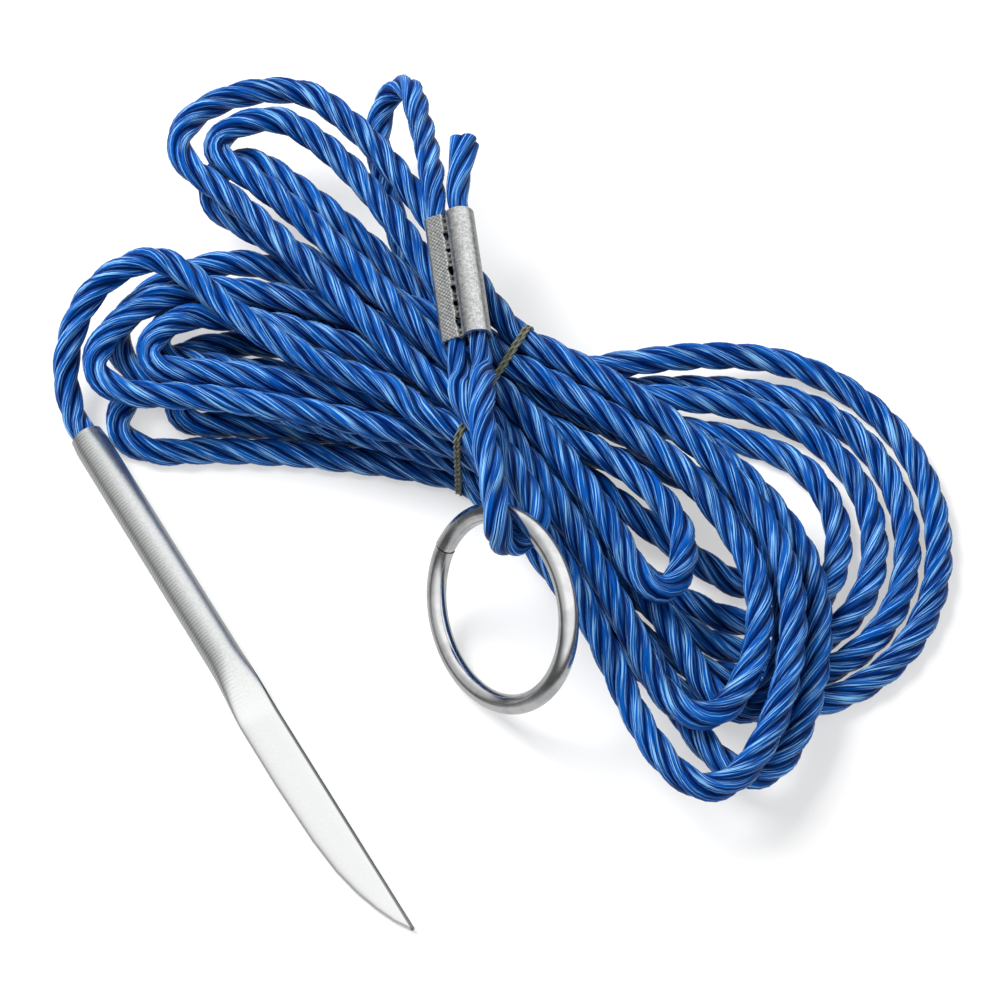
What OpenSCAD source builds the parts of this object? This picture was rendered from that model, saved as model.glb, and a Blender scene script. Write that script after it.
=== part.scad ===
// Fish stringer: a hank of laid cord with a needle on one end and a ring on the other.
// The origin is under the middle of the hank's waist, on the surface that it lies on.

/* [Cord] */
// Diameter of the laid cord
cord_d = 4.76; // [4:0.02:5.2]
// Diameter that the crimped sleeve squeezes the cord to
squeezed_d = 3.5; // [3:0.05:3.7]
// Length of cord beyond a crimp that is still drawn in
squeezed_run = 12; // [8:0.5:14]
// Length of the cut tail beyond the sleeve
tail_l = 16; // [12:1:24]

/* [Hank] */
// Half length that the loops' shares are taken of
hank_reach = 100; // [95:1:108]
// Space between neighbouring passes at the waist
pass_gap = 0.69; // [0.5:0.01:0.8]
// Space between layers
layer_gap = 0.54; // [0.45:0.01:0.7]
// Distance from the waist at which the loops start to fan out
fan_start = 14; // [10:1:18]
// Distance from the waist at which each loop lies in its own layer
fan_end = 60; // [56:1:62]
// Turn of the waist's line from the X axis, seen from above
waist_turn = -29; // [-31:1:-27]
// Length of the straight pass that each lead is drawn from
pass_run = 6; // [5:0.5:8]

/* [Tie] */
// Diameter of the tie's cord
tie_d = 0.9; // [0.7:0.05:1.1]
// Width of the two close turns
tie_w = 1.7; // [1.4:0.1:2.2]
// Depth that the tight tie sinks into the cord
tie_depth = 0.25; // [0.1:0.05:0.4]

/* [Crimped sleeve] */
// Length of the double sleeve
sleeve_l = 26; // [20:0.5:30]
// Outside diameter of each barrel
barrel_d = 4.8; // [4.6:0.1:5.4]
// Distance between the two bores
barrel_step = 4.2; // [4:0.05:4.4]
// Diameter of each bore
bore_d = 3.6; // [3.4:0.05:3.8]
// Height of the sleeve's axis
sleeve_h = 24.4; // [24:0.1:25]
// Roll of the sleeve about its own length
sleeve_roll = 20; // [14:1:24]
// Turn of the sleeve from the X axis, seen from above
sleeve_turn = -82.8; // [-84:0.1:-82]
// Depth of the crimp that flattens the left barrel
crimp_depth = 0.35; // [0.2:0.05:0.4]

/* [Ring] */
// Outside diameter of the ring
ring_od = 36; // [34:0.5:38]
// Diameter of the ring's wire
ring_wire = 3.4; // [3:0.1:3.6]
// Width of the open butt joint in the wire
seam_w = 0.15; // [0.1:0.05:0.3]
// Lean of the ring's axis from upright
ring_lean = 58.5; // [58:0.5:60]
// Turn of the ring's axis from the X axis, seen from above
ring_turn = -149.3; // [-150:0.1:-149]
// Gap between the cord's bight and the wire that it holds
eye_gap = 0.4; // [0.3:0.05:0.5]
// Gap between the eye's cord and the sleeve
hinge_gap = 0.15; // [0.1:0.05:0.3]

/* [Needle] */
// Length of the needle from its mouth to its point
needle_l = 110; // [100:1:125]
// Outside diameter of the needle's tube
tube_d = 6.35; // [6.2:0.05:7]
// Length of the round tube
tube_l = 51; // [45:1:56]
// Width of the flattened blade
blade_w = 7.2; // [6.8:0.1:8]
// Thickness of the flattened blade
blade_t = 1.6; // [1.2:0.1:2]
// Length over which the blade narrows to its point
point_l = 34; // [28:1:40]
// Depth of the cord in the needle's mouth
grip_l = 16; // [10:1:24]
// Clearance round the cord in the needle's mouth
grip_gap = 0.05; // [0.03:0.01:0.1]
// Turn of the needle from the X axis, seen from above
needle_turn = -59.2; // [-62:0.1:-57]

/* [Hidden] */

up = [0, 0, 1];
overrun = 1;

// Sides of the swept tubes
hank_sides = 8;
lead_sides = 8;
// Rings along one loop of the hank
loop_rings = 24;
// Points along one loop at which the hank's gap is measured
measure_rings = 48;

// The cord is cut flat where it lies on the surface
flat_share = 0.1;
bottom_h = cord_d * (0.5 - flat_share);
pass_step = cord_d + pass_gap;
layer_step = cord_d + layer_gap;
waist_axis = [cos(waist_turn), sin(waist_turn), 0];
waist_side = [-sin(waist_turn), cos(waist_turn), 0];

// Place of each pass at the waist, counted in passes from its middle, and its layer
pass_places = [2, -2, 1, -1, 0, 0, -1, 1, -2, 2, 2, -2, 1, -1, 0, 0, 1, -1, 2, -2];
pass_layers = [0, 0, 0, 0, 0, 1, 1, 1, 1, 1, 2, 2, 2, 2, 2, 3, 3, 3, 3, 3];
loops = len(pass_places) - 1;

// One row for each loop, right and left by turns: its reach, half width, sideways curl and lift
loop_shares = [
    [0.78, 0.283, -0.04, 0],
    [0.632, 0.118, -0.11, 0],
    [0.66, 0.173, -0.04, 0],
    [0.55, 0.06, -0.06, 0],
    [0.57, 0.082, -0.03, 0],
    [0.615, 0.074, -0.075, 0],
    [0.723, 0.2295, -0.04, 0],
    [0.685, 0.147, -0.09, 0],
    [0.834, 0.342, -0.04, 0],
    [0.7, 0.063, 0, 0],
    [0.75, 0.187, -0.24, 0],
    [0.68, 0.12, -0.11, 0],
    [0.675, 0.12, -0.165, 0],
    [0.605, 0.061, -0.065, 0],
    [0.455, 0.062, -0.085, 0.2],
    [0.775, 0.072, -0.1, 0],
    [0.65, 0.133, -0.155, 0],
    [0.845, 0.137, -0.11, 0],
    [0.73, 0.193, -0.23, 0]
];
// Turn of each loop's tip away from the waist's line
loop_turns = [6, -13, 6, -13, 4, -1.8, 6, -1, 6.2, 6.5, -8, -8.5, -7.8, -9, -12, 25, -15.3, 25, -15.7];
// Layer that each loop's tip lies in
tip_layers = [0, 0, 0, 0, 0, 1, 0, 1, 0, 2, 1, 2, 1, 2, 2, 3, 2, 3, 2];
// Share of a loop's steps that each of its two legs takes
leg_share = 0.3;
// Share of the reach in which the legs are drawn in towards the waist
pinch_share = 0.14;
// Power of the curve along which the legs spread
spread_power = 1.25;
// Shares of the reach between which a loop lifts
lift_from_share = 0.3;
lift_over_share = 0.4;

// Route of the lead that ends in the needle, beyond the hank
needle_route = [
    [-18.5, -0.3, 17.8],
    [-32.2, 5.8, 17.8],
    [-45.5, 14.9, 17.8],
    [-54.1, 23.3, 17.8],
    [-60.5, 27.1, 17.2],
    [-66.9, 26.1, 15.4],
    [-72, 22.6, 13],
    [-75.3, 16.9, 10],
    [-76.6, 9.8, 6.2]
];
// Route of the lead that ends in the sleeve, from the hank up to its turn and down again
ring_route = [
    [-9.2, 23.8, 2.4],
    [-13.8, 32.5, 4.2],
    [-17.7, 40.6, 6.8],
    [-20.3, 50.3, 9.2],
    [-21.4, 57.2, 10.6],
    [-21.2, 62.6, 11.6],
    [-19.6, 65.7, 14],
    [-17, 65.7, 17],
    [-15, 62.8, 19.2],
    [-14, 57.6, 20.2],
    [-12.6, 51, 21.3],
    [-11.4, 43.4, 22.8]
];
// Route of the eye's upper leg, from the sleeve to the ring
upper_leg = [
    [-2, -6.6, 28.6],
    [-2, -13.1, 30.1],
    [-1.4, -19.9, 31.2],
    [-0.3, -26.1, 31.8]
];
// Route of the eye's lower leg, from the ring back to the sleeve
lower_leg = [
    [4.3, -22.6, 25.2],
    [0.7, -15.6, 24.1],
    [-3.6, -9.6, 23.8],
    [-5.9, -4.2, 23.7]
];
// Place where the eye holds the ring's wire
eye_place = [3.9, -32.5, 28.5];
// Angles of the eye's points round the wire
eye_angles = [92, 46, 0, -46, -92];
// Angle round the ring at which the eye holds it, and of the butt joint
eye_angle = -152.4;
seam_angle = -81;
// Middle of the sleeve's lower face, seen from above
sleeve_place = [-4.65, 5.3];
// Middle of the needle's mouth, seen from above
mouth_place = [-72.4, -1.4];
// The needle and its lead are placed for this reach, and move out and in with the loops
placed_reach = 100;

// A step that starts and ends level, from 0 to 1
function eased(x) = let (c = max(0, min(1, x))) c * c * (3 - 2 * c);
function mixed(a, b, w) = a * (1 - w) + b * w;
function unit(v) = v / norm(v);

// Point of loop j at t, which runs from 0 to 1 out along one leg and back along the other
function loop_point(j, t) =
    let (
        row = loop_shares[j],
        reach = row[0] * hank_reach,
        tip_r = row[1] * hank_reach,
        curl = row[2] * hank_reach,
        turn = loop_turns[j],
        place_a = pass_places[j] * pass_step,
        place_b = pass_places[j + 1] * pass_step,
        middle = (place_a + place_b) / 2,
        half_gap = (place_a - place_b) / 2,
        half_tip = (half_gap < 0 ? -1 : 1) * tip_r,
        out = t < leg_share ? t / leg_share : (t > 1 - leg_share ? (1 - t) / leg_share : 1),
        round_tip = max(0, min(1, (t - leg_share) / (1 - 2 * leg_share))) * 180,
        spread = sin(90 * pow(out, spread_power)),
        on_tip = t >= leg_share && t <= 1 - leg_share,
        along = (reach - tip_r) * out + tip_r * sin(round_tip),
        leg_half = (t < 0.5 ? 1 : -1) * (half_gap + (half_tip - half_gap) * spread),
        across = middle + (on_tip ? half_tip * cos(round_tip) : leg_half),
        u = along / reach,
        bend = (1 + pinch_share) * u * u / (u + pinch_share),
        swing = turn * (u * u + 2 * pinch_share * u) / pow(u + pinch_share, 2),
        x = along - reach * (1 - cos(turn)) * bend - sin(swing) * across,
        y = reach * sin(turn) * bend + cos(swing) * across + curl * pow(u, 4),
        w = eased((t - leg_share) / (1 - 2 * leg_share)),
        fan = eased((x - fan_start) / (fan_end - fan_start)),
        waist_layer = mixed(pass_layers[j], pass_layers[j + 1], w),
        lift = row[3] * eased((u - lift_from_share) / lift_over_share),
        layer = mixed(waist_layer, tip_layers[j], fan) + lift,
        way = j % 2 == 0 ? 1 : -1
    )
    way * x * waist_axis + y * waist_side + (bottom_h + layer * layer_step) * up;

function pass_point(i, x) =
    x * waist_axis + pass_places[i] * pass_step * waist_side + (bottom_h + pass_layers[i] * layer_step) * up;

// Points of the whole hank, from the ring's lead to the needle's
function hank_route(rings) = concat(
    [pass_point(0, -pass_run)],
    [for (j = [0:loops - 1], k = [0:rings - 1]) loop_point(j, k / rings)],
    [pass_point(loops, 0), pass_point(loops, -pass_run)]
);

// Points of a smooth curve through a list, some steps from one to the next
function curve_point(p, i, t) =
    let (
        n = len(p) - 1,
        a = i > 0 ? p[i - 1] : 2 * p[0] - p[1],
        b = p[i],
        c = p[i + 1],
        d = i + 2 <= n ? p[i + 2] : 2 * p[n] - p[n - 1]
    )
    (2 * b + (c - a) * t + (2 * a - 5 * b + 4 * c - d) * t * t + (3 * b - a - 3 * c + d) * t * t * t) / 2;
function curve(p, steps) = concat(
    [for (i = [0:len(p) - 2], k = [0:steps - 1]) curve_point(p, i, k / steps)],
    [p[len(p) - 1]]
);

// Length along a list of points up to each of them
function lengths(p) = [
    for (i = 0, s = 0; i < len(p); i = i + 1, s = i < len(p) ? s + norm(p[i] - p[i - 1]) : s) s
];
// Radius of the cord at a distance from a crimp
function drawn_r(s) = mixed(squeezed_d, cord_d, eased(s / squeezed_run)) / 2;

// Tube along points, with a radius at each, square ends and an underside no lower than the surface
module tube(points, radii, sides) {
    last = len(points) - 1;
    corners = [
        for (i = [0:last])
            let (
                t = unit(points[min(i + 1, last)] - points[max(i - 1, 0)]),
                side = unit(cross(up, t)),
                rise = cross(t, side)
            )
            for (k = [0:sides - 1])
                let (
                    a = 360 * (k + 0.5) / sides,
                    c = points[i] + radii[i] * (cos(a) * side + sin(a) * rise)
                )
                [c[0], c[1], max(c[2], 0)]
    ];
    walls = [
        for (i = [0:last - 1], k = [0:sides - 1])
            let (
                a = i * sides + k,
                b = i * sides + (k + 1) % sides
            )
            each [[a, b + sides, b], [a, a + sides, b + sides]]
    ];
    near_cap = [for (k = [1:sides - 2]) [0, k, k + 1]];
    far_cap = [for (k = [1:sides - 2]) [last * sides, last * sides + k + 1, last * sides + k]];
    polyhedron(points = corners, faces = concat(walls, near_cap, far_cap));
}

// The sleeve's own directions: down its length, to its right barrel and out of its top
sleeve_dir = [cos(sleeve_turn), sin(sleeve_turn), 0];
sleeve_level = [-sin(sleeve_turn), cos(sleeve_turn), 0];
sleeve_across = cos(sleeve_roll) * sleeve_level + sin(sleeve_roll) * up;
sleeve_low = [sleeve_place[0], sleeve_place[1], sleeve_h];
// Point on the axis of the left barrel (side -1) or the right one (1), s up from the lower face
function barrel_point(side, s) = sleeve_low + side * barrel_step / 2 * sleeve_across - s * sleeve_dir;

// The eye turns about a line through the round ends of its two legs
hinge_h = squeezed_d / 2 + hinge_gap;

needle_dir = [cos(needle_turn), sin(needle_turn), 0];
moved_out = hank_reach / placed_reach;
mouth = [moved_out * mouth_place[0], moved_out * mouth_place[1], tube_d / 2];

// The ring's own directions: its axis and two directions in its plane
ring_r = (ring_od - ring_wire) / 2;
ring_axis = [sin(ring_lean) * cos(ring_turn), sin(ring_lean) * sin(ring_turn), cos(ring_lean)];
ring_u = [cos(ring_lean) * cos(ring_turn), cos(ring_lean) * sin(ring_turn), -sin(ring_lean)];
ring_v = [-sin(ring_turn), cos(ring_turn), 0];
eye_out = cos(eye_angle) * ring_u + sin(eye_angle) * ring_v;
ring_place = eye_place - ring_r * eye_out;
eye_r = (ring_wire + cord_d) / 2 + eye_gap;

// Distance from a point to the stretch between two others
function to_stretch(p, a, b) =
    let (d = b - a, t = max(0, min(1, (p - a) * d / (d * d)))) norm(p - a - t * d);

// Stretches of the hank nearer than this along the cord, or farther apart than this, aren't measured
near_cords = 3;
far_cords = 4;
// Least space between two stretches of the hank that lie apart along the cord
function least_gap(p) =
    let (s = lengths(p), near = near_cords * cord_d, far = far_cords * cord_d)
    min([
        for (i = [0:len(p) - 1], k = [i + 1:len(p) - 2])
            if (s[k] - s[i] > near && norm(p[i] - p[k]) < far) to_stretch(p[i], p[k], p[k + 1])
    ]) - cord_d;

module hank() {
    measured = hank_route(measure_rings);
    s = lengths(measured);
    echo(cord_in_hank = s[len(s) - 1], least_gap = least_gap(measured));
    route = hank_route(loop_rings);
    color("royalblue") tube(route, [for (p = route) cord_d / 2], hank_sides);
}

module needle_lead() {
    start = pass_point(loops, -pass_run);
    route = curve(concat(
        [start - cord_d / 2 * waist_axis],
        [for (p = needle_route) [moved_out * p[0], moved_out * p[1], p[2]]],
        [mouth - cord_d * needle_dir, mouth]
    ), 2);
    points = concat([start], route, [mouth + grip_l * needle_dir]);
    color("royalblue") tube(points, [for (p = points) cord_d / 2], lead_sides);
}

module ring_lead() {
    start = pass_point(0, -pass_run);
    route = curve(concat(
        [start - cord_d / 2 * waist_axis],
        ring_route,
        [barrel_point(-1, sleeve_l + cord_d), barrel_point(-1, sleeve_l)]
    ), 2);
    s = lengths(route);
    total = s[len(s) - 1];
    points = concat([start], route, [barrel_point(-1, 0)]);
    radii = [for (i = [0:len(route) - 1]) drawn_r(total - s[i])];
    color("royalblue") tube(points, concat([cord_d / 2], radii, [squeezed_d / 2]), lead_sides);
}

module cord_tail() {
    // The tail leans away from the lead, and its melted end flares
    lean_share = 0.24;
    flare_share = 1.08;
    neck_share = 0.7;
    top = barrel_point(1, sleeve_l);
    bent = top - cord_d * sleeve_dir;
    end = bent - (tail_l - cord_d) * unit(sleeve_dir - lean_share * sleeve_level);
    neck = mixed(bent, end, neck_share);
    points = [barrel_point(1, 0), top, bent, neck, end];
    radii = [squeezed_d / 2, squeezed_d / 2, drawn_r(cord_d), cord_d / 2, flare_share * cord_d / 2];
    color("royalblue") tube(points, radii, lead_sides);
}

// The eye's two ends are round, and lie on its hinge line in front of the sleeve
module ring_eye() {
    arc = [for (a = eye_angles) eye_place + eye_r * (sin(a) * ring_axis - cos(a) * eye_out)];
    right = barrel_point(1, -hinge_h);
    left = barrel_point(-1, -hinge_h);
    route = curve(concat(
        [right, right + cord_d * sleeve_dir],
        upper_leg,
        arc,
        lower_leg,
        [left + cord_d * sleeve_dir, left]
    ), 2);
    s = lengths(route);
    total = s[len(s) - 1];
    radii = [for (d = s) drawn_r(max(0, min(d, total - d)))];
    // Rings of the round ends, from the pole to the full radius
    end_angles = [80, 50, 25];
    end_r = squeezed_d / 2;
    round_start = [for (a = end_angles) right - end_r * sin(a) * sleeve_dir];
    round_finish = [for (i = [len(end_angles) - 1:-1:0]) left - end_r * sin(end_angles[i]) * sleeve_dir];
    start_radii = [for (a = end_angles) end_r * cos(a)];
    finish_radii = [for (i = [len(end_angles) - 1:-1:0]) end_r * cos(end_angles[i])];
    color("royalblue") tube(
        concat(round_start, route, round_finish),
        concat(start_radii, radii, finish_radii),
        lead_sides
    );
}

module sleeve() {
    // Thickness of the web and width of the flattened side, both in barrels
    web_share = 0.55;
    crimp_share = 1.35;
    color("silver")
        translate(sleeve_low)
            rotate([0, 0, sleeve_turn + 90])
                rotate([0, -sleeve_roll, 0])
                    rotate([-90, 0, 0])
                        difference() {
                            union() {
                                for (side = [-1, 1])
                                    translate([side * barrel_step / 2, 0, 0])
                                        cylinder(d = barrel_d, h = sleeve_l, $fn = 48);
                                translate([-barrel_step / 2, -barrel_d * web_share / 2, 0])
                                    cube([barrel_step, barrel_d * web_share, sleeve_l]);
                            }
                            for (side = [-1, 1])
                                translate([side * barrel_step / 2, 0, -overrun])
                                    cylinder(d = bore_d, h = sleeve_l + 2 * overrun, $fn = 48);
                            translate([-barrel_step / 2 - barrel_d, -barrel_d / 2 - overrun, -overrun])
                                cube([barrel_d * crimp_share, overrun + crimp_depth, sleeve_l + 2 * overrun]);
                        }
}

module ring() {
    gap_turn = seam_w / ring_r * 180 / PI;
    color("gainsboro")
        translate(ring_place)
            rotate([0, ring_lean, ring_turn])
                rotate([0, 0, seam_angle])
                    rotate_extrude(angle = 360 - gap_turn, $fn = 96)
                        translate([ring_r, 0])
                            circle(d = ring_wire, $fn = 48);
}

// The tie is one closed band round the waist, sunk into the cord by its tension
module tie() {
    // Place, layer and direction of each of the band's points on one half of the waist
    tie_stops = [
        [0, 0, -90], [1, 0, -90], [2, 0, -90], [2, 0, -60], [2, 0, -30], [2, 0, 0], [2, 1, 0],
        [2, 2, 0], [2, 3, 0], [2, 3, 30], [2, 3, 60], [2, 3, 90], [1, 3, 90]
    ];
    reach = cord_d / 2 + tie_d / 2 - tie_depth;
    function stop_point(s, way) =
        let (
            across = s[0] * pass_step + reach * cos(s[2]),
            height = bottom_h + s[1] * layer_step + reach * sin(s[2])
        )
        way * across * waist_side + max(height, tie_d / 2) * up;
    far = [for (s = tie_stops) stop_point(s, 1)];
    near = [for (i = [len(tie_stops) - 1:-1:1]) stop_point(tie_stops[i], -1)];
    band = concat(far, near);
    n = len(band);
    corners = [
        for (i = [0:n - 1])
            let (
                before = band[(i + n - 1) % n],
                after = band[(i + 1) % n],
                out = unit(cross(unit(after - before), waist_axis)),
                c = band[i]
            )
            for (k = [0:lead_sides - 1])
                let (a = 360 * (k + 0.5) / lead_sides)
                c + tie_d / 2 * cos(a) * out + tie_w / 2 * sin(a) * waist_axis
    ];
    faces = [
        for (i = [0:n - 1], k = [0:lead_sides - 1])
            let (
                a = i * lead_sides + k,
                b = i * lead_sides + (k + 1) % lead_sides,
                c = (i + 1) % n * lead_sides + (k + 1) % lead_sides,
                d = (i + 1) % n * lead_sides + k
            )
            each [[a, b, c], [a, c, d]]
    ];
    color("darkolivegreen") polyhedron(points = corners, faces = faces);
}

module needle() {
    // The mouth is a little narrower than the tube, and the point is left blunt
    mouth_share = 0.93;
    blunt_share = 0.07;
    blunt_w = blunt_share * blade_w;
    r = tube_d / 2;
    half_w = blade_w / 2;
    half_t = blade_t / 2;
    point_start = needle_l - point_l;
    // Length over which the tube is pressed flat
    press_share = 0.12;
    press_l = press_share * needle_l;
    // How far along the point the cutting edge has moved towards the straight spine
    point_shares = [[0, 0], [0.35, 0.06], [0.55, 0.16], [0.7, 0.32], [0.82, 0.52], [0.92, 0.74], [1, 1]];
    // Each station's place, half widths towards the edge and the spine, half height and height of its middle
    stations = concat(
        [[0, mouth_share * r, mouth_share * r, mouth_share * r, r]],
        [[grip_l, r, r, r, r]],
        [[tube_l, r, r, r, r]],
        [for (w = [0.25:0.25:1])
            let (wide = mixed(r, half_w, eased(w)), thick = mixed(r, half_t, eased(w)))
            [tube_l + w * press_l, wide, wide, thick, thick]],
        [for (s = point_shares)
            [point_start + s[0] * point_l, mixed(half_w, blunt_w - half_w, s[1]), half_w, half_t, half_t]]
    );
    sides = 24;
    spine_side = [-sin(needle_turn), cos(needle_turn), 0];
    corners = [
        for (s = stations)
            for (k = [0:sides - 1])
                let (
                    a = 360 * k / sides,
                    base = (s[2] - s[1]) / 2
                )
                mouth + s[0] * needle_dir + (base + (s[1] + s[2]) / 2 * cos(a)) * spine_side
                    + (s[4] - r + s[3] * sin(a)) * up
    ];
    last = len(stations) - 1;
    walls = [
        for (i = [0:last - 1], k = [0:sides - 1])
            let (
                a = i * sides + k,
                b = i * sides + (k + 1) % sides
            )
            each [[a, b + sides, b], [a, a + sides, b + sides]]
    ];
    near_cap = [for (k = [1:sides - 2]) [0, k, k + 1]];
    far_cap = [for (k = [1:sides - 2]) [last * sides, last * sides + k + 1, last * sides + k]];
    color("lightgray") difference() {
        polyhedron(points = corners, faces = concat(walls, near_cap, far_cap));
        translate(mouth - overrun * needle_dir)
            rotate([0, 90, needle_turn])
                cylinder(d = cord_d + 2 * grip_gap, h = grip_l + overrun, $fn = 48);
    }
}

hank();
needle_lead();
ring_lead();
cord_tail();
ring_eye();
sleeve();
ring();
tie();
needle();
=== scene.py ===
import math

import bpy
import numpy as np
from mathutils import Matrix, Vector


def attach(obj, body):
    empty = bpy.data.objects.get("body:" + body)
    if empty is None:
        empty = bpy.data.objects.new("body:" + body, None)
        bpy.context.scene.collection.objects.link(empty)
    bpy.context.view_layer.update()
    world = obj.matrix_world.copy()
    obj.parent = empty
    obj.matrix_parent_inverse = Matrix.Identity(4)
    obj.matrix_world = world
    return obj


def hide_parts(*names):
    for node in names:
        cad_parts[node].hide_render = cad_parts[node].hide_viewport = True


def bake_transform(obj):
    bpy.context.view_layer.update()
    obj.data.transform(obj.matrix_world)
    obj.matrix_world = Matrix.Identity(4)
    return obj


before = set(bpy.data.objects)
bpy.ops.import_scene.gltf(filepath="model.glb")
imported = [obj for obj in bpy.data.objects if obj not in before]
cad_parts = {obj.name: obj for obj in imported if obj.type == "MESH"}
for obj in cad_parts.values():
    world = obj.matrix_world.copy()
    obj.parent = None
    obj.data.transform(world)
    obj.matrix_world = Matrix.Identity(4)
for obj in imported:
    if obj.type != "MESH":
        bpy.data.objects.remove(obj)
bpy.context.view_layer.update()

mm = 0.001


# ---------------------------------------------------------------- the view
# The stringer lies on a table and is seen from in front, from 60 degrees above.
# A long lens keeps the loops' proportions.
view_angle = math.radians(60)
view_target = Vector((1.15, -12.6, 0)) * mm
view_distance = 560 * mm
picture_pixels, pixel = 1001, 0.177 * mm
sensor_width = 36
view_back = Vector((0, -math.cos(view_angle), math.sin(view_angle)))
bpy.ops.object.select_all(action="DESELECT")
bpy.ops.object.camera_add(
    location=view_target + view_distance * view_back,
    rotation=(math.pi / 2 - view_angle, 0, 0),
)
camera = bpy.context.object
camera.name = "camera"
camera.data.sensor_width = sensor_width
camera.data.lens = sensor_width * view_distance / (picture_pixels * pixel)
bpy.context.scene.camera = camera


# ---------------------------------------------------------------- the cord
# One blue laid cord of four polypropylene strands, about 3.4 m long. It is wound in
# a figure-eight hank, and one end goes to the needle and the other to the sleeve.
# Its route is that of the solids, in millimetres.
cord_d = 4.76
squeezed_d = 3.5
squeezed_run = 12
hank_reach = 100
pass_step = cord_d + 0.69
layer_step = cord_d + 0.54
fan_start, fan_end = 14, 60
waist_turn = math.radians(-29)
pass_run = 6
bottom_h = 0.4 * cord_d
leg_share, pinch_share, spread_power = 0.3, 0.14, 1.25
lift_from_share, lift_over_share = 0.3, 0.4
pass_places = [2, -2, 1, -1, 0, 0, -1, 1, -2, 2, 2, -2, 1, -1, 0, 0, 1, -1, 2, -2]
pass_layers = [0, 0, 0, 0, 0, 1, 1, 1, 1, 1, 2, 2, 2, 2, 2, 3, 3, 3, 3, 3]
# Each loop's reach, half width, sideways curl and lift, in shares, its turn and its tip's layer
loops = [
    (0.78, 0.283, -0.04, 0, 6, 0),
    (0.632, 0.118, -0.11, 0, -13, 0),
    (0.66, 0.173, -0.04, 0, 6, 0),
    (0.55, 0.06, -0.06, 0, -13, 0),
    (0.57, 0.082, -0.03, 0, 4, 0),
    (0.615, 0.074, -0.075, 0, -1.8, 1),
    (0.723, 0.2295, -0.04, 0, 6, 0),
    (0.685, 0.147, -0.09, 0, -1, 1),
    (0.834, 0.342, -0.04, 0, 6.2, 0),
    (0.7, 0.063, 0, 0, 6.5, 2),
    (0.75, 0.187, -0.24, 0, -8, 1),
    (0.68, 0.12, -0.11, 0, -8.5, 2),
    (0.675, 0.12, -0.165, 0, -7.8, 1),
    (0.605, 0.061, -0.065, 0, -9, 2),
    (0.455, 0.062, -0.085, 0.2, -12, 2),
    (0.775, 0.072, -0.1, 0, 25, 3),
    (0.65, 0.133, -0.155, 0, -15.3, 2),
    (0.845, 0.137, -0.11, 0, 25, 3),
    (0.73, 0.193, -0.23, 0, -15.7, 2),
]
needle_route = [
    (-18.5, -0.3, 17.8), (-32.2, 5.8, 17.8), (-45.5, 14.9, 17.8), (-54.1, 23.3, 17.8),
    (-60.5, 27.1, 17.2), (-66.9, 26.1, 15.4), (-72, 22.6, 13), (-75.3, 16.9, 10), (-76.6, 9.8, 6.2),
]
ring_route = [
    (-9.2, 23.8, 2.4), (-13.8, 32.5, 4.2), (-17.7, 40.6, 6.8), (-20.3, 50.3, 9.2),
    (-21.4, 57.2, 10.6), (-21.2, 62.6, 11.6), (-19.6, 65.7, 14), (-17, 65.7, 17),
    (-15, 62.8, 19.2), (-14, 57.6, 20.2), (-12.6, 51, 21.3), (-11.4, 43.4, 22.8),
]
upper_leg = [(-2, -6.6, 28.6), (-2, -13.1, 30.1), (-1.4, -19.9, 31.2), (-0.3, -26.1, 31.8)]
lower_leg = [(4.3, -22.6, 25.2), (0.7, -15.6, 24.1), (-3.6, -9.6, 23.8), (-5.9, -4.2, 23.7)]

sleeve_l = 26
barrel_step = 4.2
sleeve_turn, sleeve_roll = math.radians(-82.8), math.radians(20)
sleeve_low = np.array([-4.65, 5.3, 24.4])
sleeve_dir = np.array([math.cos(sleeve_turn), math.sin(sleeve_turn), 0])
sleeve_level = np.array([-math.sin(sleeve_turn), math.cos(sleeve_turn), 0])
sleeve_across = math.cos(sleeve_roll) * sleeve_level + np.array([0, 0, math.sin(sleeve_roll)])

ring_od, ring_wire = 36, 3.4
ring_lean, ring_turn = math.radians(58.5), math.radians(-149.3)
eye_angle, seam_angle = math.radians(-152.4), math.radians(-81)
eye_place = np.array([3.9, -32.5, 28.5])
ring_r = (ring_od - ring_wire) / 2
ring_axis = np.array([
    math.sin(ring_lean) * math.cos(ring_turn),
    math.sin(ring_lean) * math.sin(ring_turn),
    math.cos(ring_lean),
])
ring_u = np.array([
    math.cos(ring_lean) * math.cos(ring_turn),
    math.cos(ring_lean) * math.sin(ring_turn),
    -math.sin(ring_lean),
])
ring_v = np.array([-math.sin(ring_turn), math.cos(ring_turn), 0])
eye_out = math.cos(eye_angle) * ring_u + math.sin(eye_angle) * ring_v
ring_place = eye_place - ring_r * eye_out

needle_turn = math.radians(-59.2)
needle_dir = np.array([math.cos(needle_turn), math.sin(needle_turn), 0])
needle_tube_d = 6.35
mouth = np.array([-72.4, -1.4, needle_tube_d / 2])

waist_axis = np.array([math.cos(waist_turn), math.sin(waist_turn), 0])
waist_side = np.array([-math.sin(waist_turn), math.cos(waist_turn), 0])


def eased(x):
    c = min(max(x, 0), 1)
    return c * c * (3 - 2 * c)


def mixed(a, b, w):
    return a * (1 - w) + b * w


def pass_point(i, x):
    height = bottom_h + pass_layers[i] * layer_step
    return x * waist_axis + pass_places[i] * pass_step * waist_side + np.array([0, 0, height])


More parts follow.
